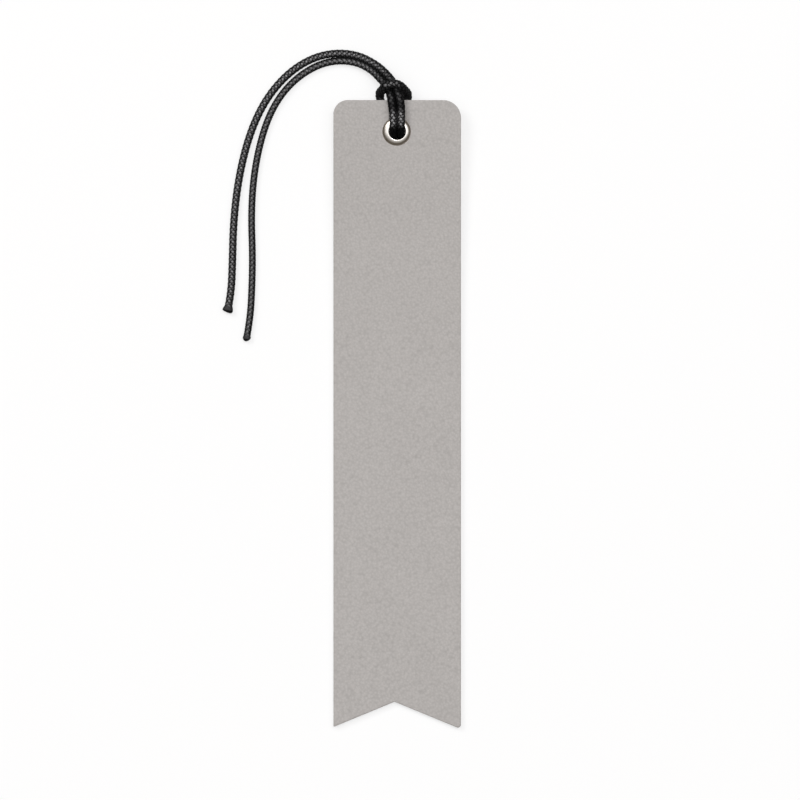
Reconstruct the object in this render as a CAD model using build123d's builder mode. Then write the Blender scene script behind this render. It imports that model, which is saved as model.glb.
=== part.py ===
from build123d import *
import os
from math import cos, degrees, pi, radians, sin, tan

# A flat bookmark lying face up on a table. Its blade is two leatherette plies over a thin
# stiffener, with rounded head corners and a swallow-tail foot. A metal eyelet and its washer
# are set in the head, and a doubled cord is hitched through the eyelet, so that its loop
# goes round the head's edge and its two tails run out beneath the loop's crown.
# X runs across the blade, Y from foot to head and Z up out of its face. The origin is on the
# table, in the middle of the blade and hitch together. The hitch's back strands hold the head
# up, so the blade lies flat along its foot and rises to the head in one gentle bend.

os.makedirs("parts", exist_ok=True)

# Blade, seen from above
strip_length = 150.0
strip_width = 30.4
left_corner_radius = 3.4
right_corner_radius = 4.3
fork_depth = 6.0
fork_offset = 0.65
fork_skew = 0.5
left_tip_radius = 0.2
right_tip_radius = 0.7

# Blade, through its thickness and along its bend
ply_thickness = 0.6
core_thickness = 0.4
core_margin = 0.15
glue_line = 0.02
bend_length = 50.0
head_length = 20.0

# Eyelet and washer
eyelet_edge_distance = 7.5
bore_diameter = 4.0
eyelet_sheet = 0.25
flange_diameter = 6.8
flange_rise = 0.6
flange_roll = 0.35
curl_diameter = 5.7
curl_rise = 0.4
washer_diameter = 6.6
washer_thickness = 0.3
washer_round = 0.1
eyelet_clearance = 0.05

# Cord
cord_diameter = 1.65
strand_gap = 0.2
cord_clearance = 0.12
exit_clearance = 0.35
floor_clearance = 0.04
outer_tip_diameter = 2.2
inner_tip_diameter = 1.9
tip_length = 1.3
tip_round = 0.3

# Length by which every cutter and every trimmed blank runs past what it cuts
overrun = 2.0

# Share of the shorter run beside a corner that the corner's arc takes up
arc_run_share = 0.45

# The two strands' common line, from the bore's mouth over the face to the exit: shares of the
# eyelet's edge distance across and along the blade, the height as a share of the way from the
# strands behind the blade (0) to those on its face (1), and the heading in degrees
pair_route_shares = [
    (0.000, -0.060, 1.14, 90),
    (0.007, 0.413, 1.20, 90),
    (0.000, 0.720, 1.07, 93),
    (-0.053, 1.080, 1.030, 102),
    (-0.136, 1.320, 0.750, 114),
    (-0.260, 1.533, 0.440, 124),
    (-0.420, 1.713, 0.330, 131),
]
# The same pair where it leaves the bore behind the blade
back_turn_shares = (0.000, -0.060, -0.17, 90)
# The loop from there round the head's edge, from the right leg over the crown to the left leg
loop_route_shares = [
    (0.153, 0.387, -0.212),
    (0.260, 0.787, -0.042),
    (0.340, 1.180, 0.014),
    (0.320, 1.300, 0.550),
    (0.200, 1.427, 1.028),
    (0.013, 1.527, 1.156),
    (-0.213, 1.527, 1.200),
    (-0.415, 1.440, 1.210),
    (-0.548, 1.295, 0.740),
    (-0.556, 1.180, 0.014),
    (-0.400, 0.787, -0.042),
    (-0.180, 0.387, -0.212),
]
# The tails after the exit, as distances across and along from the eyelet and heights above
# the table
outer_tail_route = [
    (-4.90, 15.70, 2.55),
    (-9.10, 18.12, 1.55),
    (-14.25, 18.86, 0.95),
    (-19.65, 17.70, 0.85),
    (-24.88, 14.68, 0.85),
    (-29.45, 10.10, 0.85),
    (-33.10, 4.40, 0.85),
    (-36.00, -3.00, 0.85),
    (-38.05, -12.20, 0.85),
    (-39.15, -21.80, 0.85),
    (-39.35, -31.00, 0.85),
    (-39.60, -38.40, 0.85),
    (-40.55, -41.80, 1.12),
]
inner_tail_route = [
    (-6.20, 14.35, 2.55),
    (-9.70, 16.40, 1.55),
    (-14.30, 16.98, 0.95),
    (-18.90, 15.88, 0.85),
    (-23.50, 13.15, 0.85),
    (-27.50, 9.05, 0.85),
    (-30.70, 3.70, 0.85),
    (-33.05, -3.50, 0.85),
    (-34.55, -12.00, 0.85),
    (-34.95, -20.80, 0.85),
    (-34.55, -29.60, 0.85),
    (-34.65, -37.40, 0.85),
    (-35.20, -44.60, 0.85),
    (-36.00, -49.00, 0.97),
]

# Layers and eyelet, as heights above the blade's back face and radii from the eyelet's axis
core_bottom = ply_thickness + glue_line
core_top = core_bottom + core_thickness
front_ply_bottom = core_top + glue_line
strip_thickness = front_ply_bottom + ply_thickness
bore_radius = bore_diameter / 2
barrel_radius = bore_radius + eyelet_sheet
eyelet_hole_radius = barrel_radius + eyelet_clearance
flange_radius = flange_diameter / 2
crest_radius = bore_radius + flange_roll
crest_height = strip_thickness + flange_rise
roll_height = crest_height - flange_roll
curl_radius = curl_diameter / 2
curl_middle_radius = (bore_radius + curl_radius) / 2

# Cord middles on the face, behind the blade and behind the washer's curl
cord_radius = cord_diameter / 2
strand_pitch = cord_diameter + strand_gap
face_height = strip_thickness + cord_clearance + cord_radius
back_height = -cord_clearance - cord_radius
curl_height = back_height + loop_route_shares[0][2] * (face_height - back_height)
curl_crossing = loop_route_shares[0][1] * eyelet_edge_distance

# The head's tilt sets the strands behind the curl just on the table, and the origin lies
# midway between the foot and the exit of the right strand
head_lift = cord_radius + floor_clearance - curl_height
head_tilt = head_lift / (bend_length / 2 + head_length - eyelet_edge_distance + curl_crossing)
bend_radius = bend_length / head_tilt
exit_across_share, exit_along_share, exit_height_share, exit_heading = pair_route_shares[-1]
exit_along = exit_along_share * eyelet_edge_distance - strand_pitch / 2 * cos(radians(exit_heading))
head_y = (strip_length + eyelet_edge_distance - exit_along) / 2
foot_y = head_y - strip_length
bend_y = head_y - head_length * cos(head_tilt) - bend_radius * sin(head_tilt)
bend_rise = bend_radius * (1 - cos(head_tilt))
head_rise = bend_rise + head_length * sin(head_tilt)
eyelet_y = head_y - eyelet_edge_distance * cos(head_tilt)
eyelet_z = head_rise - eyelet_edge_distance * sin(head_tilt)
head_plane = Plane((0, eyelet_y, eyelet_z), (1, 0, 0), (0, -sin(head_tilt), cos(head_tilt)))
eyelet_axis = Axis(head_plane.origin, head_plane.z_dir)


def head_point(across_share, along_share, height_share):
    """A point of the hitch on the tilted head, in the part's own frame."""
    height = back_height + height_share * (face_height - back_height)
    local = Vector(across_share * eyelet_edge_distance, along_share * eyelet_edge_distance, height)
    return head_plane.from_local_coords(local)


def strand_point(pair_shares, side):
    """The middle of the right (1) or left (-1) strand beside a point of the pair's line."""
    across, along, height, heading = pair_shares
    offset_share = side * strand_pitch / 2 / eyelet_edge_distance
    turn = radians(heading)
    return head_point(across + offset_share * sin(turn), along - offset_share * cos(turn), height)


def bend_radii(points):
    """The largest radius that the two runs at each corner leave room for."""
    radii = []
    for before, corner, after in zip(points, points[1:], points[2:]):
        run_in = corner - before
        run_out = after - corner
        shorter = min(run_in.length, run_out.length)
        radii.append(arc_run_share * shorter / tan(radians(run_in.get_angle(run_out)) / 2))
    return radii


def cord_line(points):
    """The cord's middle line: straight runs joined by tangent arcs."""
    with BuildLine() as line:
        FilletPolyline(*points, radius=bend_radii(points))
    return line.wire()


def say_cord(name, points, line, solid):
    """Print a cord's length, its volume beside section times length, and its radii."""
    section_volume = pi * cord_radius**2 * line.length
    radii = ", ".join(f"{radius:.1f}" for radius in bend_radii(points))
    print(f"{name}: length {line.length:.2f}, volume {solid.volume:.2f} beside {section_volume:.2f}")
    print(f"  radii {radii}")


def layer_profile(bottom, top):
    """The side view of one layer, between two heights above the blade's back face."""
    with BuildSketch(Plane.YZ) as side:
        with BuildLine():
            ends = []
            for height in (bottom, top):
                flat = Line((foot_y - overrun, height), (bend_y, height))
                rise = CenterArc((bend_y, bend_radius), bend_radius - height, -90, degrees(head_tilt))
                head = PolarLine(rise @ 1, head_length + overrun, degrees(head_tilt))
                ends.append((flat @ 0, head @ 1))
            Line(ends[0][0], ends[1][0])
            Line(ends[0][1], ends[1][1])
        make_face()
    return side.sketch


def make_tail(exit_point, route, tip_diameter):
    """One tail: a round root in its strand's cup, the run on the table and a flared, sealed end."""
    points = [exit_point] + [Vector(x, eyelet_y + y, z) for x, y, z in route]
    line = cord_line(points)
    root_plane = Plane(line @ 0, z_dir=line % 0)
    end_plane = Plane(line @ 1, z_dir=line % 1)
    with BuildPart() as tail:
        with BuildSketch(root_plane):
            Circle(cord_radius)
        sweep(path=line)
        with Locations(root_plane):
            Sphere(cord_radius, arc_size1=-90, arc_size2=0, align=(Align.CENTER, Align.CENTER, Align.MAX))
        with BuildSketch(end_plane):
            Circle(cord_radius)
        with BuildSketch(end_plane.offset(tip_length)):
            Circle(tip_diameter / 2)
        loft()
        fillet(tail.edges().sort_by(Axis(end_plane.origin, end_plane.z_dir))[-1], tip_round)
    return tail, points, line


# The blade's outline: two rounded head corners, and a fork whose right tip is the longer
with BuildSketch() as outline:
    with BuildLine():
        Polyline(
            (-strip_width / 2, foot_y + fork_skew),
            (-strip_width / 2, head_y),
            (strip_width / 2, head_y),
            (strip_width / 2, foot_y),
            (-fork_offset, foot_y + fork_skew + fork_depth),
            close=True,
        )
    make_face()
    fillet(outline.vertices().group_by(Axis.Y)[-1].sort_by(Axis.X)[0], left_corner_radius)
    fillet(outline.vertices().group_by(Axis.Y)[-1].sort_by(Axis.X)[-1], right_corner_radius)
    fillet(outline.vertices().sort_by(Axis.Y)[0], right_tip_radius)
    fillet(outline.vertices().group_by(Axis.X)[0].sort_by(Axis.Y)[0], left_tip_radius)

# The stiffener stops a little short of the plies' edges
with BuildSketch() as core_outline:
    add(outline.sketch)
    offset(amount=-core_margin, kind=Kind.INTERSECTION, mode=Mode.REPLACE)

outline_height = head_rise + strip_thickness + overrun

# Back ply, lying on the table
with BuildPart() as back_ply:
    extrude(layer_profile(0, ply_thickness), amount=strip_width, both=True)
    extrude(outline.sketch, amount=outline_height, mode=Mode.INTERSECT)
    with Locations(head_plane):
        Hole(eyelet_hole_radius)
back_ply.part.label = "back_ply"
export_step(back_ply.part, "parts/back_ply.step")

# Stiffener between the plies
with BuildPart() as stiffener_core:
    extrude(layer_profile(core_bottom, core_top), amount=strip_width, both=True)
    extrude(core_outline.sketch, amount=outline_height, mode=Mode.INTERSECT)
    with Locations(head_plane):
        Hole(eyelet_hole_radius)
stiffener_core.part.label = "stiffener_core"
export_step(stiffener_core.part, "parts/stiffener_core.step")

# Front ply, the face that shows
with BuildPart() as front_ply:
    extrude(layer_profile(front_ply_bottom, strip_thickness), amount=strip_width, both=True)
    extrude(outline.sketch, amount=outline_height, mode=Mode.INTERSECT)
    with Locations(head_plane):
        Hole(eyelet_hole_radius)
front_ply.part.label = "front_ply"
export_step(front_ply.part, "parts/front_ply.step")

# Eyelet: one drawn sheet, rolled at its mouth and sloping down to the face, straight through
# the plies and curled behind
with BuildPart() as eyelet:
    with BuildSketch(Plane(head_plane.origin, head_plane.x_dir, -head_plane.y_dir)):
        with BuildLine():
            Line((bore_radius, -washer_thickness), (bore_radius, roll_height))
            TangentArc((bore_radius, roll_height), (crest_radius, crest_height), tangent=(0, 1))
            TangentArc((crest_radius, crest_height), (flange_radius, strip_thickness), tangent=(1, 0))
            Line((flange_radius, strip_thickness), (flange_radius - eyelet_sheet, strip_thickness))
            TangentArc(
                (crest_radius, crest_height - eyelet_sheet),
                (flange_radius - eyelet_sheet, strip_thickness),
                tangent=(1, 0),
            )
            TangentArc(
                (barrel_radius, roll_height),
                (crest_radius, crest_height - eyelet_sheet),
                tangent=(0, 1),
            )
            Line((barrel_radius, roll_height), (barrel_radius, -washer_thickness))
            ThreePointArc(
                (barrel_radius, -washer_thickness),
                (curl_middle_radius, -washer_thickness - curl_rise + eyelet_sheet),
                (curl_radius - eyelet_sheet, -washer_thickness),
            )
            Line((curl_radius - eyelet_sheet, -washer_thickness), (curl_radius, -washer_thickness))
            ThreePointArc(
                (curl_radius, -washer_thickness),
                (curl_middle_radius, -washer_thickness - curl_rise),
                (bore_radius, -washer_thickness),
            )
        make_face()
    revolve(axis=eyelet_axis)
eyelet.part.label = "eyelet"
export_step(eyelet.part, "parts/eyelet.step")

# Washer between the back ply and the eyelet's curl
with BuildPart() as eyelet_washer:
    with BuildSketch(head_plane):
        Circle(washer_diameter / 2)
        Circle(eyelet_hole_radius, mode=Mode.SUBTRACT)
    extrude(amount=-washer_thickness)
    fillet(eyelet_washer.faces().sort_by(eyelet_axis)[0].outer_wire().edges(), washer_round)
eyelet_washer.part.label = "eyelet_washer"
export_step(eyelet_washer.part, "parts/eyelet_washer.step")

# Hitch: one strand from the right exit through the bore, round the head's edge and back again
hitch_points = [strand_point(point, 1) for point in reversed(pair_route_shares)]
hitch_points += [strand_point(back_turn_shares, 1)]
hitch_points += [head_point(*point) for point in loop_route_shares]
hitch_points += [strand_point(back_turn_shares, -1)]
hitch_points += [strand_point(point, -1) for point in pair_route_shares]
hitch_line = cord_line(hitch_points)
outer_exit = hitch_points[0]
inner_exit = hitch_points[-1]
with BuildPart() as cord_hitch:
    with BuildSketch(Plane(hitch_line @ 0, z_dir=hitch_line % 0)):
        Circle(cord_radius)
    sweep(path=hitch_line)
    with Locations(outer_exit, inner_exit):
        Sphere(cord_radius + exit_clearance, mode=Mode.SUBTRACT)
cord_hitch.part.label = "cord_hitch"
export_step(cord_hitch.part, "parts/cord_hitch.step")
say_cord("cord_hitch", hitch_points, hitch_line, cord_hitch.part)

# Tails, each with its root in the hitch
cord_tail_outer, outer_points, outer_line = make_tail(outer_exit, outer_tail_route, outer_tip_diameter)
cord_tail_outer.part.label = "cord_tail_outer"
export_step(cord_tail_outer.part, "parts/cord_tail_outer.step")
say_cord("cord_tail_outer", outer_points, outer_line, cord_tail_outer.part)

cord_tail_inner, inner_points, inner_line = make_tail(inner_exit, inner_tail_route, inner_tip_diameter)
cord_tail_inner.part.label = "cord_tail_inner"
export_step(cord_tail_inner.part, "parts/cord_tail_inner.step")
say_cord("cord_tail_inner", inner_points, inner_line, cord_tail_inner.part)
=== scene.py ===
"""A leatherette bookmark with a nickel eyelet and a braided cord hitched through it.

Sizes are named in millimetres, and every mesh is in metres, in the frame's own axes:
X across the blade, Y from the forked foot to the head and Z up out of the face.
"""

from math import ceil, cos, pi, radians, sin, sqrt, tan, tau

import bmesh
import bpy
import numpy as np
from mathutils import Matrix, Vector, noise
from mathutils.geometry import delaunay_2d_cdt


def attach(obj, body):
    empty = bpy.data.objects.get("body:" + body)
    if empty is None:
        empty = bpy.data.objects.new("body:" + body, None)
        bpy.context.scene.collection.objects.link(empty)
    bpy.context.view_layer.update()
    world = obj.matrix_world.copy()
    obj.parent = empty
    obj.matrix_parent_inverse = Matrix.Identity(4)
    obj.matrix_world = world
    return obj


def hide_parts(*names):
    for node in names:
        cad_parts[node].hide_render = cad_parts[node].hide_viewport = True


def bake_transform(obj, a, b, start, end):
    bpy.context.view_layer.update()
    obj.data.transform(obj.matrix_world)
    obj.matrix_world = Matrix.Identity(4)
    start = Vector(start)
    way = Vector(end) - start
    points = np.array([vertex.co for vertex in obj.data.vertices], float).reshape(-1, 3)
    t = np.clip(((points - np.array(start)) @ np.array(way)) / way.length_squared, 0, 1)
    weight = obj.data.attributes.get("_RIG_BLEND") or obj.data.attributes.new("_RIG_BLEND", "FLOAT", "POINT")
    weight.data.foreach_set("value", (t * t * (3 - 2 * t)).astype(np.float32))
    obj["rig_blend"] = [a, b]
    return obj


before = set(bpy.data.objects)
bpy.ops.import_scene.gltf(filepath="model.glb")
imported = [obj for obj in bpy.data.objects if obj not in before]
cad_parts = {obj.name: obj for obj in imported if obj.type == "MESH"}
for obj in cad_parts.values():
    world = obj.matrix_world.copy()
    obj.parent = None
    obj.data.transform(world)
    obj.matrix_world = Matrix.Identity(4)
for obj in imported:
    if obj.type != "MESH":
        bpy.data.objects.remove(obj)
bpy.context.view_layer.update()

MM = 0.001

# Blade: its outline, each ply's glued and shown levels, and the bend that lifts its head
BLADE_WIDTH = 30.4
HEAD_Y = 72.0228
FOOT_Y = -77.9772
LEFT_CORNER = 3.4
RIGHT_CORNER = 4.3
FORK_DEPTH = 6.0
FORK_OFFSET = 0.65
FORK_SKEW = 0.5
LEFT_TIP = 0.2
RIGHT_TIP = 0.7
BACK_PLY = (0.6, 0.0)
FRONT_PLY = (1.04, 1.64)
BEND_Y = 2.0963
BEND_RADIUS = 789.6
HEAD_TILT = radians(3.6281)

# A ply's triangles: spacings along its edge and over its face, and rows that follow the edge
EDGE_SPACING = 0.6
ARC_SPACING = 0.25
LEAST_ARC_STEPS = 4
GRID_SPACING = 0.9
EDGE_INSETS = (0.03, 0.08, 0.15, 0.24, 0.35, 0.55)

# Shares of an inset and of the hole's radius that points and faces have to clear
INSET_SHARE = 0.97
HOLE_SHARE = 0.999

# The triangulation's kind of result, and the distance at which it merges points
INSIDE_OUTLINE = 1
MERGE_DISTANCE = 0.0005

# A ply's rolled edge, cut line and gentle waviness
ROLL_WIDTH = 0.35
ROLL_DROP = 0.2
SKIN_DEPTH = 0.08
WAVE_HEIGHT = 0.02
WAVE_LENGTH = 9.0
SHARP_ANGLE = radians(42)

# Eyelet: its place, the radii of its section, its rolls and the hollow inside its curl
EYELET_Y = 64.5379
EYELET_Z = 2.37351
EYELET_HOLE = 2.3
BORE = 2.0
BARREL = 2.25
LIP = 1.95
CREST = 2.16
FLANGE = 3.4
FLANGE_RISE = 0.6
FLANGE_SHIFT = -0.14
SHEET = 0.25
ROLL = 0.2
RIM_BEVEL = 0.02
RIM_SINK = 0.03
CURL = 2.85
WASHER = 0.3
HOLLOW_DEPTH = 0.1
HOLLOW_INNER_SLOPE = 0.08
HOLLOW_OUTER_SLOPE = 0.05

# The eyelet's mesh: sides round it, steps along its section, uneven rims and a browner back
EYELET_SIDES = 96
BARREL_STEPS = 8
LIP_STEPS = 10
SLOPE_STEPS = 18
UNDER_STEPS = 6
CURL_STEPS = 16
WOBBLE = 0.02
WOBBLE_RATE = 1.3
BACK_BROWN = 0.3

# Cord: radii, the braid's lay and tapes, and the tails' lengths and lift
OUTER_RADIUS = 0.95
HITCH_RADIUS = 1.03
INNER_RADIUS = 0.87
SQUEEZED_RADIUS = 0.82
BRAID_LAY = 7.1
BRAID_CARRIERS = 12
BRAID_STEP = 0.13
TAPE_WIDTH = 0.70
TAPE_THICKNESS = 0.2
TAPE_SIDES = 8
CORE_SIDES = 12
OUTER_LENGTH = 86.6
INNER_LENGTH = 88.5
LIFT_HEADING = radians(70)
LIFT_BLEND = 14.0

# The weave, in tape thicknesses: its depth below the cord's surface, its swing and the core's depth
WEAVE_DEPTH = 1.207
WEAVE_SWING = 0.707
CORE_DEPTH = 1.6

# A route's smooth line, and the points over which its end's direction is taken
ROUTE_ORDER = 3
ROUTE_RESOLUTION = 24
END_POINTS = 3

# The hitch from the outer tail's exit through the bore, round the head's edge and back again
HITCH_ROUTE = [
    (-2.452, 78.151, 3.444), (-1.233, 76.630, 3.741), (-0.305, 74.826, 4.723),
    (0.565, 72.803, 5.684), (0.900, 69.996, 5.485), (0.947, 67.621, 5.874),
    (0.925, 63.944, 5.418), (0.780, 63.600, 2.200), (0.800, 62.950, 0.803),
    (1.147, 67.542, 0.867), (2.300, 70.698, 1.560), (2.600, 73.580, 2.040),
    (1.780, 74.335, 3.985), (1.180, 75.159, 5.729), (0.067, 75.879, 6.228),
    (-1.597, 75.909, 6.383), (-2.950, 75.306, 6.377), (-3.500, 74.405, 4.652),
    (-4.300, 73.740, 2.040), (-3.760, 70.698, 1.600), (-1.350, 67.542, 0.867),
    (-0.800, 62.950, 0.803), (-0.780, 63.600, 2.200), (-0.925, 63.944, 5.418),
    (-0.872, 67.621, 5.874), (-1.040, 69.900, 5.485), (-1.390, 72.479, 5.659),
    (-1.880, 74.165, 4.675), (-2.677, 75.668, 3.675), (-3.848, 76.940, 3.368),
]

# Each tail from its exit to its tip
OUTER_ROUTE = [
    (-4.900, 80.438, 2.550), (-9.100, 82.718, 1.550), (-14.250, 83.418, 1.000),
    (-19.650, 82.388, 0.960), (-24.880, 79.418, 0.945), (-29.450, 74.838, 0.955),
    (-33.070, 69.138, 0.955), (-35.920, 61.738, 0.955), (-37.990, 52.538, 0.955),
    (-39.070, 42.938, 0.955), (-39.300, 33.738, 0.955), (-39.570, 26.338, 0.955),
    (-40.250, 22.938, 1.120),
]
INNER_ROUTE = [
    (-6.060, 79.258, 2.550), (-9.620, 81.168, 1.550), (-14.300, 81.628, 0.980),
    (-18.900, 80.508, 0.920), (-23.500, 77.768, 0.880), (-27.450, 73.788, 0.870),
    (-30.600, 68.438, 0.865), (-32.910, 61.238, 0.865), (-34.400, 52.738, 0.865),
    (-34.820, 43.938, 0.865), (-34.500, 35.138, 0.865), (-34.650, 27.338, 0.865),
    (-35.050, 20.138, 0.860), (-35.850, 15.738, 0.970),
]

# What changes along the cord is listed at its route's points. A half runs from a tail's exit to the
# middle of the crown, and a tail's list from its exit outward, where its last value holds to the tip.
HALF_POINTS = len(HITCH_ROUTE) // 2

# Radius: plump in the hitch and squeezed behind the blade
HALF_GIRTH = [
    1.01, 1.02, 1.05, 1.08, 1.06, 1.00, 0.95, 0.85,
    SQUEEZED_RADIUS, SQUEEZED_RADIUS, 0.92, 1.13, 1.12, 1.04, 1.03,
]
OUTER_GIRTH = [0.99, 0.98, 0.95, 0.94, OUTER_RADIUS]
INNER_GIRTH = [0.97, 0.96, 0.93, 0.90, 0.88, INNER_RADIUS]

# Painted sheen: grey painted on the upper crests, and a painted highlight where the cord rides on the
# eyelet. A smooth line is led by these values, so those beside the highlight go below zero to end it
# sharply.
HALF_SHEEN = [0.9, 0.7, 0.25, 0.95, -0.2, 3.4, -2.1, 0.0, 0.0, 0.0, 0.2, 0.4, 0.55, 0.95, 1.05]
OUTER_SHEEN = [1.55]
INNER_SHEEN = [1.78]

# How much of a tail's own twist and softness is left along the hitch
TAIL_FADE = [0.8, 0.6, 0.4, 0.2]
TAIL_FADE += [0.0] * (HALF_POINTS - len(TAIL_FADE))

# The braid's turn about the cord, which sets where its crests lie
OUTER_TWIST = radians(30)
HITCH_TWIST = radians(17)
INNER_TWIST = radians(22)

# How evenly the painted sheen covers crests and dips
OUTER_SOFTNESS = 0.1
INNER_SOFTNESS = 0.62
HALF_SOFTNESS = [0.0, 0.1, 0.3, 0.6, 0.5, -0.3]
HALF_SOFTNESS += [0.0] * (HALF_POINTS - len(HALF_SOFTNESS))

# Sealed ends: distance past the route's end, reach to the left and right, and half height
OUTER_SEAL = [
    (-0.55, -0.66, 0.66, 0.64), (-0.30, -0.86, 0.88, 0.84), (0.05, -0.96, 0.98, 0.88),
    (0.35, -1.08, 1.10, 0.90), (0.65, -1.20, 1.22, 0.90), (0.95, -1.30, 1.28, 0.88),
    (1.16, -1.26, 1.26, 0.82), (1.36, -0.84, 1.18, 0.70), (1.52, -0.24, 1.06, 0.50),
    (1.62, 0.20, 0.88, 0.26),
]
INNER_SEAL = [
    (-0.55, -0.58, 0.60, 0.60), (-0.30, -0.76, 0.78, 0.76), (0.00, -0.86, 0.90, 0.82),
    (0.30, -0.93, 0.97, 0.84), (0.58, -0.90, 0.88, 0.82), (0.82, -0.80, 0.70, 0.74),
    (1.02, -0.64, 0.48, 0.60), (1.16, -0.48, 0.24, 0.42), (1.24, -0.32, 0.06, 0.20),
]
SEAL_SIDES = 28
RIM_STATIONS = 4
SEAL_LUMP = 0.05
LUMP_RATE_ALONG = 1.7
LUMP_RATE_ROUND = 1.3

# Inputs of the braid's node tree
BRAID_INPUTS = [
    ("Route", "NodeSocketGeometry"),
    ("Step", "NodeSocketFloat"),
    ("Lay", "NodeSocketFloat"),
    ("Carriers", "NodeSocketInt"),
    ("Tape Width", "NodeSocketFloat"),
    ("Tape Thickness", "NodeSocketFloat"),
    ("Plump Radius", "NodeSocketFloat"),
    ("From", "NodeSocketFloat"),
    ("To", "NodeSocketFloat"),
    ("Cord", "NodeSocketMaterial"),
]

# Colours of each finish, from where its pattern is 0 to where it is 1
COAT_COLOURS = ((0.506, 0.484, 0.468), (0.350, 0.333, 0.320))
BACKING_COLOURS = ((0.20, 0.195, 0.18), (0.34, 0.33, 0.31))
BOARD_COLOURS = ((0.24, 0.225, 0.20), (0.50, 0.475, 0.44))
NICKEL_COLOURS = ((0.80, 0.765, 0.71), (0.36, 0.315, 0.265))
# The cord's lighter colour is its painted sheen, and its melted ends' lighter colour is a painted highlight
CORD_COLOURS = ((0.0015, 0.0015, 0.0017), (0.205, 0.203, 0.209))
MELTED_COLOURS = ((0.002, 0.002, 0.0022), (0.074, 0.072, 0.077))

# Scales of each finish's patterns, in cells to the metre
PEBBLE_SCALE = 1800.0
CREASE_SCALE = 1500.0
PATCH_SCALE = 60.0
BACKING_SCALE = 3200.0
FLECK_SCALE = 2600.0
BOARD_CLOUD_SCALE = 220.0
SCRATCH_SCALE = 5200.0
NICKEL_CLOUD_SCALE = 700.0
FIBRE_SCALE = 700.0
DUST_SCALE = 420.0
LUMP_SCALE = 1500.0
ASH_SCALE = 4200.0

# How scratches are stretched along the blade, and fibres across half a tape's section
SCRATCH_STRETCH = (1.0, 0.25, 1.0)
FIBRES_ACROSS = 5.0

# Detail and roughness of the finer grains
SHARP_GRAIN = (3.0, 0.7)
FLECK_GRAIN = (4.0, 0.7)
DUST_GRAIN = (3.0, 0.6)

# Relief of each finish: its strength, and its depth in millimetres
COAT_RELIEF = (0.8, 0.05)
BOARD_RELIEF = (0.5, 0.02)
NICKEL_RELIEF = (0.15, 0.008)
CORD_RELIEF = (0.5, 0.02)
MELTED_RELIEF = (0.6, 0.05)

# Leatherette: its patterns' shares in tone and relief, its roughness and its shine
PATCH_TONE = 0.2
CREASE_TONE = 0.75
PEBBLE_TONE = 0.6
TONE_DROP = 0.22
PEBBLE_SMOOTHNESS = 0.4
PEBBLE_RELIEF = 0.7
CREASE_RELIEF = 0.5
BACKING_ROUGHNESS = 0.78
COAT_POLISH = 0.28
CREASE_ROUGHNESS = 0.12
COAT_SHINE = 0.4

# Board: its patterns' shares in tone, and its roughness
FLECK_TONE = 0.6
BOARD_CLOUD_TONE = 0.4
BOARD_ROUGHNESS = 0.8
BOARD_CLOUD_ROUGHNESS = 0.15

# Nickel: how its clouds break up the browning towards its rim, and its roughness
LEAST_BROWN = 0.75
CLOUD_BROWN = 0.5
NICKEL_ROUGHNESS = 0.17
BROWN_ROUGHNESS = 0.16
NICKEL_CLOUD_ROUGHNESS = 0.10

# Cord's finish: its lit side, where its painted sheen starts, the shares in the painted sheen and its tone,
# and its gloss
LIT_SIDE = (-0.1, 0.0, 0.995)
SHEEN_SIDE_START = 0.81
CREST_START = 0.45
RIDGE_START = 0.65
EVEN_SHEEN = 0.5
RIDGE_SHEEN = 0.18
SHEEN_TONE = 0.2
FIBRE_TONE = 0.3
DUST_TONE = 0.25
CORD_ROUGHNESS = 0.62
SHEEN_POLISH = 0.1
DUST_ROUGHNESS = 0.1
CORD_SHINE = 0.08
SHEEN_COAT = 0.6
WAX_ROUGHNESS = 0.24

# Melted ends: where the painted highlight on their top starts and is full, the shares in tone and relief,
# and gloss
SEAL_LIGHT_START = 0.45
SEAL_LIGHT_FULL = 0.95
LUMP_TONE = 0.7
ASH_TONE = 0.6
MELTED_DROP = 0.1
ASH_RELIEF = 0.3
MELTED_ROUGHNESS = 0.45
ASH_ROUGHNESS = 0.25
MELTED_SHINE = 0.15

# Table: its colours, half width and glow, and the radius left without glow beneath the eyelet
TABLE_COLOUR = (0.97, 0.97, 0.97, 1)
WHITE = (1, 1, 1, 1)
TABLE_HALF = 8000.0
TABLE_GLOW = 0.68
DIM_RADIUS = 1.5 * FLANGE

# Sky: its dim and bright colours, the bounds between which it brightens, and its share in the south
SKY_COLOURS = ((0.13, 0.115, 0.095), (1.42, 1.42, 1.46))
DOME_BOUNDS = (0.6, 0.8)
NORTH_BOUNDS = (-0.34, -0.08)
SOUTH_SHARE = 0.25

# Lamps: place and size in metres, and watts
LAMPS = [
    ("window", (-1.5, 1.3, 2.1), 1.2, 22.0),
    ("softbox", (0.35, 0.6, 2.5), 0.5, 14.0),
]
LAMP_COLOUR = (1.0, 0.99, 0.97)

# Camera: the photograph's frame, straight above, and its clipping distances in metres
VIEW_CENTRE = (0.666, 0.528, 1.64)
VIEW_WIDTH = 190.84
LENS = 600.0
SENSOR = 36.0
CLIP_START = 0.01
CLIP_END = 40.0

# A Mix node's colour sockets, among those that it has for other kinds of value
MIX_LOW = 6
MIX_HIGH = 7
MIX_RESULT = 2


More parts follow.
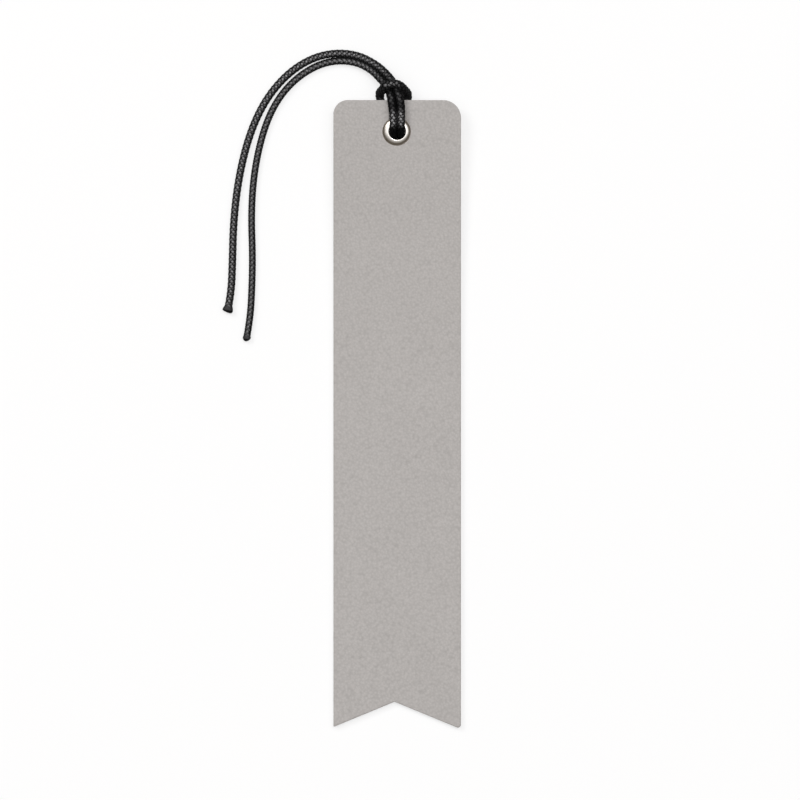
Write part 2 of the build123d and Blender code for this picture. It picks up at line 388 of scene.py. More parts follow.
class Link:
    """A node's output. Arithmetic on links adds Math nodes to their tree."""

    def __init__(self, tree, socket):
        self.tree = tree
        self.socket = socket

    def other(self, name):
        """Another output of the same node."""
        return Link(self.tree, self.socket.node.outputs[name])

    def __add__(self, value):
        return self.tree.maths("ADD", self, value)

    def __radd__(self, value):
        return self.tree.maths("ADD", value, self)

    def __sub__(self, value):
        return self.tree.maths("SUBTRACT", self, value)

    def __rsub__(self, value):
        return self.tree.maths("SUBTRACT", value, self)

    def __mul__(self, value):
        return self.tree.maths("MULTIPLY", self, value)

    def __rmul__(self, value):
        return self.tree.maths("MULTIPLY", value, self)

    def __truediv__(self, value):
        return self.tree.maths("DIVIDE", self, value)

    def __mod__(self, value):
        return self.tree.maths("MODULO", self, value)

    def __pow__(self, value):
        return self.tree.maths("POWER", self, value)

    def __lt__(self, value):
        return self.tree.maths("LESS_THAN", self, value)

    def __gt__(self, value):
        return self.tree.maths("GREATER_THAN", self, value)


class Tree:
    """A node tree, with the one method that adds a node to it."""

    def __init__(self, made):
        self.made = made

    def add(self, kind, settings=None, sockets=None, output=0):
        node = self.made.nodes.new(kind)
        for name, value in (settings or {}).items():
            setattr(node, name, value)
        for name, value in (sockets or {}).items():
            if isinstance(value, Link):
                self.made.links.new(value.socket, node.inputs[name])
            else:
                node.inputs[name].default_value = value
        return Link(self, node.outputs[output]) if node.outputs else None

    def maths(self, operation, *values):
        return self.add("ShaderNodeMath", {"operation": operation}, dict(enumerate(values)))


# Materials
def new_material(name):
    """An empty node material and its tree."""
    material = bpy.data.materials.new(name)
    material.use_nodes = True
    material.node_tree.nodes.clear()
    return material, Tree(material.node_tree)


def surface(tree, shader):
    tree.add("ShaderNodeOutputMaterial", {}, {"Surface": shader})


def principled_surface(tree, sockets):
    """Close a material with one Principled shader."""
    surface(tree, tree.add("ShaderNodeBsdfPrincipled", {}, sockets))


def own_place(tree):
    """Places in the piece's own coordinates."""
    return tree.add("ShaderNodeTexCoord", {}, {}, "Object")


def attribute(tree, name, output="Fac"):
    return tree.add("ShaderNodeAttribute", {"attribute_name": name}, {}, output)


def grain(tree, place, scale, detail=2.0, roughness=0.5):
    sockets = {"Vector": place, "Scale": scale, "Detail": detail, "Roughness": roughness}
    return tree.add("ShaderNodeTexNoise", {}, sockets)


def blended(tree, share, low, high):
    """A colour between two, by a share from 0 to 1."""
    low, high = (colour if isinstance(colour, Link) else (*colour, 1) for colour in (low, high))
    sockets = {"Factor": share, MIX_LOW: low, MIX_HIGH: high}
    return tree.add("ShaderNodeMix", {"data_type": "RGBA"}, sockets, MIX_RESULT)


def eased(tree, value, start, full=1.0):
    """A share that eases from 0 to 1 as a value goes from its start to its full."""
    sockets = {"Value": value, "From Min": start, "From Max": full}
    return tree.add("ShaderNodeMapRange", {"interpolation_type": "SMOOTHSTEP"}, sockets)


def raised(tree, height, strength, depth):
    """A normal that follows a pattern's height, with its depth in millimetres."""
    sockets = {"Strength": strength, "Distance": depth * MM, "Height": height}
    return tree.add("ShaderNodeBump", {}, sockets)


def make_leatherette():
    """Warm grey coated cloth with a fine pebble grain; its cut edge shows the backing."""
    material, tree = new_material("leatherette")
    place = own_place(tree)
    skin = attribute(tree, "skin")
    pebble = tree.add(
        "ShaderNodeTexVoronoi",
        {"feature": "SMOOTH_F1"},
        {"Vector": place, "Scale": PEBBLE_SCALE, "Smoothness": PEBBLE_SMOOTHNESS},
        "Distance",
    )
    crease = grain(tree, place, CREASE_SCALE, *SHARP_GRAIN)
    patch = grain(tree, place, PATCH_SCALE)
    fibre = grain(tree, place, BACKING_SCALE, *SHARP_GRAIN)
    tone = patch * PATCH_TONE + crease * CREASE_TONE + pebble * PEBBLE_TONE - TONE_DROP
    coat = blended(tree, tone, *COAT_COLOURS)
    backing = blended(tree, fibre, *BACKING_COLOURS)
    relief = (1 - pebble) * PEBBLE_RELIEF + crease * CREASE_RELIEF
    sockets = {
        "Base Color": blended(tree, skin, backing, coat),
        "Roughness": BACKING_ROUGHNESS - skin * COAT_POLISH + crease * CREASE_ROUGHNESS,
        "Normal": raised(tree, relief * skin + fibre * (1 - skin), *COAT_RELIEF),
        "Specular IOR Level": COAT_SHINE,
    }
    principled_surface(tree, sockets)
    return material


def make_board():
    """Pressed wood-fibre board, seen only as a line between the plies."""
    material, tree = new_material("grey_board")
    place = own_place(tree)
    fleck = grain(tree, place, FLECK_SCALE, *FLECK_GRAIN)
    cloud = grain(tree, place, BOARD_CLOUD_SCALE)
    tone = fleck * FLECK_TONE + cloud * BOARD_CLOUD_TONE
    sockets = {
        "Base Color": blended(tree, tone, *BOARD_COLOURS),
        "Roughness": BOARD_ROUGHNESS + cloud * BOARD_CLOUD_ROUGHNESS,
        "Normal": raised(tree, fleck, *BOARD_RELIEF),
    }
    principled_surface(tree, sockets)
    return material


def make_nickel(name):
    """Polished nickel plate with fine scratches, browner and rougher towards its rim and on its back."""
    material, tree = new_material(name)
    place = own_place(tree)
    stretched = tree.add("ShaderNodeMapping", {}, {"Vector": place, "Scale": SCRATCH_STRETCH})
    scratch = grain(tree, stretched, SCRATCH_SCALE, *SHARP_GRAIN)
    cloud = grain(tree, place, NICKEL_CLOUD_SCALE)
    brown_share = attribute(tree, "brown_share") * (LEAST_BROWN + cloud * CLOUD_BROWN)
    brown_share = tree.add("ShaderNodeClamp", {}, {"Value": brown_share})
    sockets = {
        "Base Color": blended(tree, brown_share, *NICKEL_COLOURS),
        "Metallic": 1.0,
        "Roughness": NICKEL_ROUGHNESS + brown_share * BROWN_ROUGHNESS + cloud * NICKEL_CLOUD_ROUGHNESS,
        "Normal": raised(tree, scratch, *NICKEL_RELIEF),
    }
    principled_surface(tree, sockets)
    return material


def make_cord_black():
    """Waxed black braid, greyed along its upper crests by painted sheen and so left black in its dips and
    down its sides.
    """
    material, tree = new_material("cord_black")
    section = attribute(tree, "section", "Vector")
    across = tree.add("ShaderNodeSeparateXYZ", {}, {"Vector": section}, "X")
    sockets = {
        "X": across * FIBRES_ACROSS,
        "Y": across.other("Y") * FIBRES_ACROSS,
        "Z": attribute(tree, "run") * FIBRE_SCALE,
    }
    fibre = grain(tree, tree.add("ShaderNodeCombineXYZ", {}, sockets), scale=1.0)
    dust = grain(tree, own_place(tree), DUST_SCALE, *DUST_GRAIN)
    sockets = {0: attribute(tree, "outward", "Vector"), 1: LIT_SIDE}
    facing = tree.add("ShaderNodeVectorMath", {"operation": "DOT_PRODUCT"}, sockets, "Value")
    # Painted sheen: crests on the side facing LIT_SIDE, up and a little to the left, are greyed as if lit
    lit_top = eased(tree, facing, SHEEN_SIDE_START)
    rise = (attribute(tree, "rise") + 1) / 2
    crest = eased(tree, rise, CREST_START)
    ridge = eased(tree, rise, RIDGE_START)
    softness = attribute(tree, "softness")
    crest = crest + softness * (EVEN_SHEEN - crest)
    painted_sheen = (crest * lit_top + ridge * (1 - softness) * RIDGE_SHEEN) * attribute(tree, "sheen_level")
    tone = painted_sheen * (SHEEN_TONE + fibre * FIBRE_TONE + dust * DUST_TONE)
    sockets = {
        "Base Color": blended(tree, tone, *CORD_COLOURS),
        "Roughness": CORD_ROUGHNESS - painted_sheen * SHEEN_POLISH + dust * DUST_ROUGHNESS,
        "Normal": raised(tree, fibre, *CORD_RELIEF),
        "Specular IOR Level": CORD_SHINE,
        "Coat Weight": painted_sheen * SHEEN_COAT,
        "Coat Roughness": WAX_ROUGHNESS,
    }
    principled_surface(tree, sockets)
    return material


def make_melted_black():
    """The cord's sealed end, melted to a dull skin with ashy grain: grey on top as a painted highlight,
    black round its rim.
    """
    material, tree = new_material("melted_black")
    # Painted highlight: the seal's upward side is greyed as if lit from above
    lit_top = eased(tree, attribute(tree, "rise"), SEAL_LIGHT_START, SEAL_LIGHT_FULL)
    place = own_place(tree)
    lump = grain(tree, place, LUMP_SCALE)
    ash = grain(tree, place, ASH_SCALE, *SHARP_GRAIN)
    tone = lit_top * (lump * LUMP_TONE + ash * ASH_TONE - MELTED_DROP)
    sockets = {
        "Base Color": blended(tree, tone, *MELTED_COLOURS),
        "Roughness": MELTED_ROUGHNESS + ash * ASH_ROUGHNESS,
        "Normal": raised(tree, lump + ash * ASH_RELIEF, *MELTED_RELIEF),
        "Specular IOR Level": MELTED_SHINE,
    }
    principled_surface(tree, sockets)
    return material


# Meshes
def show(name, data):
    """A new object, at the origin, linked to the scene."""
    shown = bpy.data.objects.new(name, data)
    bpy.context.scene.collection.objects.link(shown)
    return shown


def new_mesh(name, vertices, faces, material):
    """A smooth-shaded mesh in metres from points in millimetres."""
    mesh = bpy.data.meshes.new(name)
    mesh.from_pydata([Vector(point) * MM for point in vertices], [], faces)
    mesh.polygons.foreach_set("use_smooth", [True] * len(mesh.polygons))
    mesh.materials.append(material)
    mesh.validate()
    return mesh


def as_mesh(made):
    """An object's evaluated shape as a plain mesh; the object itself is removed."""
    depsgraph = bpy.context.evaluated_depsgraph_get()
    mesh = bpy.data.meshes.new_from_object(made.evaluated_get(depsgraph))
    bpy.data.objects.remove(made)
    return mesh


def keep_values(mesh, name, values):
    """A number for each vertex, which a node tree or a material reads by name."""
    mesh.attributes.new(name, "FLOAT", "POINT").data.foreach_set("value", values)


# Blade
def rounded_corner(before, here, after, radius):
    """The points of an outline's corner, as an arc where it has a radius."""
    if not radius:
        return [here]
    before = (before - here).normalized()
    after = (after - here).normalized()
    half_angle = before.angle(after) / 2
    centre = here + (before + after).normalized() * (radius / sin(half_angle))
    spoke = here + before * (radius / tan(half_angle)) - centre
    sweep = pi - 2 * half_angle
    steps = max(LEAST_ARC_STEPS, ceil(radius * sweep / ARC_SPACING))
    turns = [Matrix.Rotation(sweep * step / steps, 2) for step in range(steps + 1)]
    return [centre + turn @ spoke for turn in turns]


def blade_outline():
    """The blade's outline from above, anticlockwise from the left tip of its fork."""
    half = BLADE_WIDTH / 2
    corners = [
        (Vector((-half, FOOT_Y + FORK_SKEW)), LEFT_TIP),
        (Vector((-FORK_OFFSET, FOOT_Y + FORK_SKEW + FORK_DEPTH)), 0),
        (Vector((half, FOOT_Y)), RIGHT_TIP),
        (Vector((half, HEAD_Y)), RIGHT_CORNER),
        (Vector((-half, HEAD_Y)), LEFT_CORNER),
    ]
    bends = []
    for index, (here, radius) in enumerate(corners):
        before = corners[index - 1][0]
        after = corners[(index + 1) % len(corners)][0]
        bends.append(rounded_corner(before, here, after, radius))
    outline = []
    for index, bend in enumerate(bends):
        outline += bend
        start, end = bend[-1], bends[(index + 1) % len(bends)][0]
        steps = ceil((end - start).length / EDGE_SPACING)
        outline += [start.lerp(end, step / steps) for step in range(1, steps)]
    return np.array([tuple(point) for point in outline])


def edge_distance(outline, points):
    """How far each point is from the outline, negative outside it."""
    least = np.full(len(points), np.inf)
    inside = np.zeros(len(points), bool)
    for start, end in zip(outline, np.roll(outline, -1, 0)):
        run = end - start
        spoke = points - start
        share = np.clip(spoke @ run / (run @ run), 0, 1)
        least = np.minimum(least, np.linalg.norm(spoke - share[:, None] * run, axis=1))
        crosses = (start[1] > points[:, 1]) != (end[1] > points[:, 1])
        rise = run[1] if run[1] else 1.0
        inside ^= crosses & (points[:, 0] < start[0] + spoke[:, 1] * run[0] / rise)
    return np.where(inside, least, -least)


def face_points(outline):
    """Points over the blade's face: rows that follow its edge, then a staggered grid."""
    along = np.roll(outline, -1, 0) - np.roll(outline, 1, 0)
    along /= np.linalg.norm(along, axis=1)[:, None]
    inward = np.stack([-along[:, 1], along[:, 0]], 1)
    groups = []
    for inset in EDGE_INSETS:
        row = outline + inward * inset
        groups.append(row[edge_distance(outline, row) > inset * INSET_SHARE])
    columns = np.arange(-BLADE_WIDTH / 2, BLADE_WIDTH / 2, GRID_SPACING)
    rows = np.arange(FOOT_Y, HEAD_Y, GRID_SPACING)
    stagger = GRID_SPACING / 2
    grid = np.array([(x + stagger * (i % 2), y) for i, y in enumerate(rows) for x in columns])
    groups.append(grid[edge_distance(outline, grid) > EDGE_INSETS[-1] + stagger])
    spread = np.concatenate(groups)
    from_eyelet = np.hypot(spread[:, 0], spread[:, 1] - EYELET_Y)
    return spread[from_eyelet > EYELET_HOLE + EDGE_SPACING / 2]


def blade_plan():
    """The blade's triangles from above: points, each one's distance to the outline, and faces."""
    outline = blade_outline()
    turns = [tau * side / EYELET_SIDES for side in range(EYELET_SIDES)]
    hole = np.array([(cos(turn), sin(turn)) for turn in turns]) * EYELET_HOLE + (0, EYELET_Y)
    points = np.concatenate([outline, hole, face_points(outline)])
    edges = [(i, (i + 1) % len(outline)) for i in range(len(outline))]
    edges += [(len(outline) + i, len(outline) + (i + 1) % len(hole)) for i in range(len(hole))]
    found, _, faces, *_ = delaunay_2d_cdt(
        [Vector(point) for point in points], edges, [], INSIDE_OUTLINE, MERGE_DISTANCE
    )
    plan = np.array([tuple(point) for point in found])
    kept_faces = []
    for face in faces:
        middle = plan[list(face)].mean(0)
        if np.hypot(middle[0], middle[1] - EYELET_Y) > EYELET_HOLE * HOLE_SHARE:
            kept_faces.append(tuple(face))
    return plan, np.maximum(edge_distance(outline, plan), 0), kept_faces


def blade_height(y, height):
    """The level of a layer's surface, given as a height above the blade's back face."""
    past = y - BEND_Y
    turned = BEND_RADIUS * sin(HEAD_TILT)
    if past <= 0:
        return height
    if past < turned:
        fall = sqrt(BEND_RADIUS**2 - past**2)
        return BEND_RADIUS - fall + height * BEND_RADIUS / fall
    rise = BEND_RADIUS * (1 - cos(HEAD_TILT)) + (past - turned) * tan(HEAD_TILT)
    return rise + height / cos(HEAD_TILT)


def make_ply(name, layer, plan, material):
    """One ply: a skin with a rolled edge over a straight cut, wavy in front, flat where it is glued."""
    points, inset, faces = plan
    glued, shown = layer
    way = 1 if shown > glued else -1
    edge = np.clip(1 - inset / ROLL_WIDTH, 0, 1)
    drop = ROLL_DROP * (1 - np.sqrt(1 - edge**2))
    skin, cut, back = [], [], []
    for (x, y), fall in zip(points, drop):
        wave = noise.noise(Vector((x, y, shown)) / WAVE_LENGTH) * WAVE_HEIGHT if way > 0 else 0
        level = blade_height(y, shown)
        skin.append((x, y, level + wave - way * fall))
        cut.append((x, y, level - way * (fall + SKIN_DEPTH)))
        back.append((x, y, blade_height(y, glued)))
    count = len(points)
    directed = {(a, b) for face in faces for a, b in zip(face, (*face[1:], face[0]))}
    border = [(a, b) for a, b in sorted(directed) if (b, a) not in directed]
    made = faces + [tuple(2 * count + i for i in reversed(face)) for face in faces]
    for a, b in border:
        made.append((b, a, count + a, count + b))
        made.append((count + b, count + a, 2 * count + a, 2 * count + b))
    if way < 0:
        made = [tuple(reversed(face)) for face in made]
    mesh = new_mesh(name, skin + cut + back, made, material)
    keep_values(mesh, "skin", [1.0] * count + [0.0] * (2 * count))
    cleared = bmesh.new()
    cleared.from_mesh(mesh)
    unused = [vertex for vertex in cleared.verts if not vertex.link_faces]
    bmesh.ops.delete(cleared, geom=unused, context="VERTS")
    cleared.to_mesh(mesh)
    cleared.free()
    mesh.set_sharp_from_angle(angle=SHARP_ANGLE)
    return show(name, mesh)


# Eyelet
def arc(centre, radius, start, end, steps):
    """Points of an arc, with its two angles in degrees."""
    turns = [radians(start + (end - start) * step / steps) for step in range(steps + 1)]
    return [(centre[0] + radius * cos(turn), centre[1] + radius * sin(turn)) for turn in turns]


def falling_arc(run, rise):
    """The radius of an arc that starts level and falls by a rise over a run, and its end's angle."""
    radius = (run**2 + rise**2) / (2 * rise)
    return radius, 90 - np.degrees(np.arcsin(run / radius))


def eyelet_section():
    """The eyelet's closed section: each point's radius, and its height above the back face."""
    face = FRONT_PLY[1]
    crest_height = face + FLANGE_RISE
    under_rise = FLANGE_RISE - SHEET
    slope_radius, rim_turn = falling_arc(FLANGE - CREST, FLANGE_RISE)
    under_radius, under_turn = falling_arc(FLANGE - CREST - SHEET, under_rise)
    barrel = crest_height - ROLL - SHEET + WASHER
    hollow = -WASHER - HOLLOW_DEPTH
    section = [(BORE, -WASHER + barrel * step / BARREL_STEPS) for step in range(BARREL_STEPS + 1)]
    section += arc((LIP + ROLL, crest_height - ROLL), ROLL, 180, 90, LIP_STEPS)
    section += arc((CREST, crest_height - slope_radius), slope_radius, 90, rim_turn, SLOPE_STEPS)[1:]
    section += [(FLANGE - RIM_BEVEL, face - RIM_SINK), (FLANGE - SHEET, face - RIM_SINK)]
    under_middle = (CREST, face + under_rise - under_radius)
    section += arc(under_middle, under_radius, under_turn, 90, UNDER_STEPS)
    section += [(BARREL, crest_height - ROLL), (BARREL, -WASHER)]
    section += [(BARREL + HOLLOW_INNER_SLOPE, hollow), (CURL - SHEET - HOLLOW_OUTER_SLOPE, hollow)]
    section += [(CURL - SHEET, -WASHER)]
    section += arc(((CURL + BORE) / 2, -WASHER), (CURL - BORE) / 2, 0, -180, CURL_STEPS)[:-1]
    return section


def on_head(across, along, height):
    """A point of the tilted head, from distances off the hole's middle on the back face."""
    return (
        across,
        EYELET_Y + along * cos(HEAD_TILT),
        EYELET_Z + along * sin(HEAD_TILT) + height * cos(HEAD_TILT),
    )


def make_eyelet(material):
    """The eyelet: a rolled mouth sloping to its rim, a straight barrel and a curl behind."""
    section = eyelet_section()
    slope_start = CREST + ROLL
    vertices, brown_share = [], []
    for side in range(EYELET_SIDES):
        turn = tau * side / EYELET_SIDES
        for radius, height in section:
            wobble = noise.noise(Vector((cos(turn), sin(turn), height)) * WOBBLE_RATE) * WOBBLE
            wide = radius + (wobble if radius > BARREL + SHEET / 2 else 0)
            in_front = height > 0
            slope = min(max((radius - slope_start) / (FLANGE - slope_start), 0), 1) if in_front else 0
            across = wide * cos(turn) + slope * FLANGE_SHIFT
            vertices.append(on_head(across, wide * sin(turn), height))
            brown_share.append(slope if in_front else BACK_BROWN)
    count = len(section)
    faces = []
    for side in range(EYELET_SIDES):
        here, there = side * count, (side + 1) % EYELET_SIDES * count
        for step in range(count):
            ahead = (step + 1) % count
            faces.append((here + step, there + step, there + ahead, here + ahead))
    mesh = new_mesh("eyelet_set", vertices, faces, material)
    keep_values(mesh, "brown_share", brown_share)
    turned = bmesh.new()
    turned.from_mesh(mesh)
    bmesh.ops.recalc_face_normals(turned, faces=turned.faces)
    turned.to_mesh(mesh)
    turned.free()
    mesh.set_sharp_from_angle(angle=SHARP_ANGLE)
    return show("eyelet_set", mesh)


# Cord
def draw_line(name, points):
    """A smooth line led by its points, as the vertices of a mesh."""
    line = bpy.data.curves.new(name, "CURVE")
    line.dimensions = "3D"
    line.resolution_u = ROUTE_RESOLUTION
    spline = line.splines.new("NURBS")
    spline.points.add(len(points) - 1)
    for point, place in zip(spline.points, points):
        point.co = (*(Vector(place) * MM), 1)
    spline.order_u = ROUTE_ORDER
    spline.use_endpoint_u = True
    return as_mesh(show(name, line))


def along_cord(outer, outer_half, inner_half, inner):
    """Values at every point of the cord's route, from lists that each start at a tail's exit."""
    outer = outer + outer[-1:] * (len(OUTER_ROUTE) - len(outer))
    inner = inner + inner[-1:] * (len(INNER_ROUTE) - len(inner))
    return outer[::-1] + outer_half + inner_half[::-1] + inner


def along_twist():
    """The braid's turn along the cord, from each tail's own to the hitch's."""
    outer_half = [HITCH_TWIST + (OUTER_TWIST - HITCH_TWIST) * share for share in TAIL_FADE]
    inner_half = [HITCH_TWIST + (INNER_TWIST - HITCH_TWIST) * share for share in TAIL_FADE]
    return along_cord([OUTER_TWIST], outer_half, inner_half, [INNER_TWIST])


def along_softness():
    """The wear's softness along the cord, each tail's own fading into the hitch's."""
    fades = list(zip(TAIL_FADE, HALF_SOFTNESS))
    outer_half = [OUTER_SOFTNESS * share + own for share, own in fades]
    inner_half = [INNER_SOFTNESS * share + own for share, own in fades]
    return along_cord([OUTER_SOFTNESS], outer_half, inner_half, [INNER_SOFTNESS])


def make_route():
    """The whole cord's middle line, from the outer tip to the inner one, with what changes along it."""
    route = draw_line("cord_route", OUTER_ROUTE[::-1] + HITCH_ROUTE + INNER_ROUTE)
    girth = along_cord(OUTER_GIRTH, HALF_GIRTH, HALF_GIRTH, INNER_GIRTH)
    # The painted sheen's level along the cord, highest as a painted highlight on the eyelet
    sheen_level = along_cord(OUTER_SHEEN, HALF_SHEEN, HALF_SHEEN, INNER_SHEEN)
    changes = [
        ("girth", girth, 1),
        ("sheen_level", sheen_level, MM),
        ("twist", along_twist(), MM),
        ("softness", along_softness(), MM),
    ]
    # Each line is drawn in metres: a girth stays so, and the rest become plain numbers again
    for name, values, unit in changes:
        line = draw_line("cord_" + name, [(value, 0, 0) for value in values])
        keep_values(route, name, [vertex.co.x / unit for vertex in line.vertices])
    return route


def keep(geometry, name, value, data_type="FLOAT"):
    """Store a value on each point, for later nodes and for the material."""
    settings = {"data_type": data_type, "domain": "POINT"}
    sockets = {"Geometry": geometry, "Name": name, "Value": value}
    return geometry.tree.add("GeometryNodeStoreNamedAttribute", settings, sockets)


def kept(tree, name, data_type="FLOAT"):
    """A value that is stored on each point."""
    settings = {"data_type": data_type}
    return tree.add("GeometryNodeInputNamedAttribute", settings, {"Name": name})


def scaled(vector, by):
    sockets = {0: vector, "Scale": by}
    return vector.tree.add("ShaderNodeVectorMath", {"operation": "SCALE"}, sockets)


def trimmed(curve, outside):
    """A curve without its points outside a stretch."""
    sockets = {"Geometry": curve, "Selection": outside}
    return curve.tree.add("GeometryNodeDeleteGeometry", {"domain": "POINT"}, sockets)


def circle(tree, sides):
    sockets = {"Resolution": sides, "Radius": 1.0}
    return tree.add("GeometryNodeCurvePrimitiveCircle", {"mode": "RADIUS"}, sockets)


def swept(curve, profile, scale):
    """A profile swept along a curve, with closed ends."""
    sockets = {"Curve": curve, "Profile Curve": profile, "Scale": scale, "Fill Caps": True}
    return curve.tree.add("GeometryNodeCurveToMesh", {}, sockets)


def braid_line(tree, given):
    """The route's line in even steps, with the distance run along it; its own values come with it."""
    line = tree.add("GeometryNodeMeshToCurve", {}, {"Mesh": given})
    sockets = {"Curve": line, "Length": given.other("Step")}
    line = tree.add("GeometryNodeResampleCurve", {"mode": "LENGTH"}, sockets)
    return keep(line, "run", tree.add("GeometryNodeSplineParameter", {}, {}, "Length"))


def woven_lines(tree, given, line, size):
    """A copy of the line for each carrier, half of them winding each way, over one and under one."""
    carriers = given.other("Carriers")
    sockets = {"Geometry": line, "Amount": carriers}
    copies = tree.add("GeometryNodeDuplicateElements", {"domain": "SPLINE"}, sockets)
    # Each way's carriers stand evenly round the cord, and all of them turn once in a lay
    number = copies.other("Duplicate Index")
    way = number % 2 * 2 - 1
    place = tree.maths("FLOOR", number / 2)
    turn = way * tau * kept(tree, "run") / given.other("Lay") + place * (2 * tau) / carriers
    facing = turn + kept(tree, "twist")
    tangent = tree.add("GeometryNodeInputTangent")
    normal = tree.add("GeometryNodeInputNormal", {}, {}, "Normal")
    side = tree.add("ShaderNodeVectorMath", {"operation": "CROSS_PRODUCT"}, {0: tangent, 1: normal})
    sockets = {
        0: scaled(normal, tree.maths("COSINE", facing)),
        1: scaled(side, tree.maths("SINE", facing)),
    }
    outward = tree.add("ShaderNodeVectorMath", {"operation": "ADD"}, sockets)
    # A tape rises where one of the other way dips, and changes over between crossings
    tapes = keep(copies, "rise", way * tree.maths("COSINE", turn * carriers / 2))
    tapes = keep(tapes, "outward", outward, "FLOAT_VECTOR")
    outward = kept(tree, "outward", "FLOAT_VECTOR")
    thickness = given.other("Tape Thickness") * size
    swing = thickness * WEAVE_SWING * kept(tree, "rise")
    reach = kept(tree, "girth") - thickness * WEAVE_DEPTH + swing
    sockets = {"Geometry": tapes, "Offset": scaled(outward, reach)}
    tapes = tree.add("GeometryNodeSetPosition", {}, sockets)
    sockets = {"Curve": tapes, "Normal": outward}
    return tree.add("GeometryNodeSetCurveNormal", {"mode": "FREE"}, sockets)


def tape_oval(tree, given):
    """A tape's section: a flat oval, on which each point keeps its place."""
    oval = circle(tree, TAPE_SIDES)
    oval = keep(oval, "section", tree.add("GeometryNodeInputPosition"), "FLOAT_VECTOR")
    sockets = {"X": given.other("Tape Thickness") / 2, "Y": given.other("Tape Width") / 2, "Z": 1.0}
    shape = tree.add("ShaderNodeCombineXYZ", {}, sockets)
    return tree.add("GeometryNodeTransform", {}, {"Geometry": oval, "Scale": shape})


def make_braid_tree():
    """A plain tubular braid round a core, along a stretch of the cord's route."""
    group = bpy.data.node_groups.new("braided_cord", "GeometryNodeTree")
    for name, kind in BRAID_INPUTS:
        group.interface.new_socket(name, in_out="INPUT", socket_type=kind)
    group.interface.new_socket("Braid", in_out="OUTPUT", socket_type="NodeSocketGeometry")
    tree = Tree(group)
    given = tree.add("NodeGroupInput")
    line = braid_line(tree, given)
    run = kept(tree, "run")
    outside = (run < given.other("From")) + (run > given.other("To"))
    size = kept(tree, "girth") / given.other("Plump Radius")
    tapes = trimmed(woven_lines(tree, given, line, size), outside)
    tapes = swept(tapes, tape_oval(tree, given), size)
    middle = keep(trimmed(line, outside), "rise", -1.0)
    core_radius = kept(tree, "girth") - given.other("Tape Thickness") * CORE_DEPTH
    core = swept(middle, circle(tree, CORE_SIDES), core_radius)
    braid = tree.add("GeometryNodeJoinGeometry", {}, {"Geometry": tapes})
    group.links.new(core.socket, braid.socket.node.inputs["Geometry"])
    braid = tree.add("GeometryNodeSetShadeSmooth", {}, {"Geometry": braid})
    braid = tree.add("GeometryNodeRealizeInstances", {}, {"Geometry": braid})
    sockets = {"Geometry": braid, "Material": given.other("Cord")}
    braid = tree.add("GeometryNodeSetMaterial", {}, sockets)
    tree.add("NodeGroupOutput", {}, {"Braid": braid})
    return group


def make_braid(name, route, tree, sizes):
    """A stretch of the braid as a plain mesh."""
    carrier = show(name, route.copy())
    modifier = carrier.modifiers.new("braid", "NODES")
    modifier.node_group = tree
    for item in tree.interface.items_tree:
        if item.in_out == "INPUT" and item.name in sizes:
            modifier[item.identifier] = sizes[item.name]
    mesh = as_mesh(carrier)
    mesh.name = name
    mesh.materials.clear()
    mesh.materials.append(sizes["Cord"])
    mesh.polygons.foreach_set("material_index", [0] * len(mesh.polygons))
    return mesh


def seal_end(mesh, end, before, stations, material):
    """Add a cord's melted end to its mesh: rings along its last direction, closed at both ends."""
    along = (end - before).normalized()
    right = Vector((0, 0, 1)).cross(along).normalized()
    upward = along.cross(right)
    mesh.materials.append(material)
    made = bmesh.new()
    made.from_mesh(mesh)
    level = made.verts.layers.float["rise"]
    rings = []
    for index, (past, left, reach, half_height) in enumerate(stations):
        middle = end + along * (past * MM) + right * ((left + reach) / 2 * MM)
        # Stations before the rim carry the painted highlight on their upper side
        lit_station = index < len(stations) - RIM_STATIONS
        ring = []
        for step in range(SEAL_SIDES):
            turn = tau * step / SEAL_SIDES
            round_spot = (cos(turn) * LUMP_RATE_ROUND, sin(turn) * LUMP_RATE_ROUND)
            lump = 1 + SEAL_LUMP * noise.noise(Vector((past * LUMP_RATE_ALONG, *round_spot)))
            across = right * (cos(turn) * (reach - left) / 2 * MM * lump)
            vertex = made.verts.new(middle + across + upward * (sin(turn) * half_height * MM * lump))
            vertex[level] = sin(turn) if lit_station else 0
            ring.append(vertex)
        rings.append(ring)
    skin = [made.faces.new(rings[0]), made.faces.new(rings[-1])]
    for low, high in zip(rings, rings[1:]):
        for step in range(SEAL_SIDES):
            ahead = (step + 1) % SEAL_SIDES
            skin.append(made.faces.new((low[step], low[ahead], high[ahead], high[step])))
    for face in skin:
        face.material_index = len(mesh.materials) - 1
        face.smooth = True
    bmesh.ops.recalc_face_normals(made, faces=skin)
    made.to_mesh(mesh)
    made.free()


def nearest(line, place):
    """The index of a line's point nearest to a place in millimetres."""
    spot = Vector(place) * MM
    return min(range(len(line)), key=lambda index: (line[index] - spot).length)


def make_braids(route, stretches):
    """The braid's stretches as meshes, by their names."""
    sizes = {
        "Step": BRAID_STEP * MM,
        "Lay": BRAID_LAY * MM,
        "Carriers": BRAID_CARRIERS,
        "Tape Width": TAPE_WIDTH * MM,
        "Tape Thickness": TAPE_THICKNESS * MM,
        "Plump Radius": HITCH_RADIUS * MM,
        "Cord": make_cord_black(),
    }
    tree = make_braid_tree()
    meshes = {}
    for name, (start, end) in stretches.items():
        meshes[name] = make_braid(name, route, tree, {**sizes, "From": start, "To": end})
    return meshes


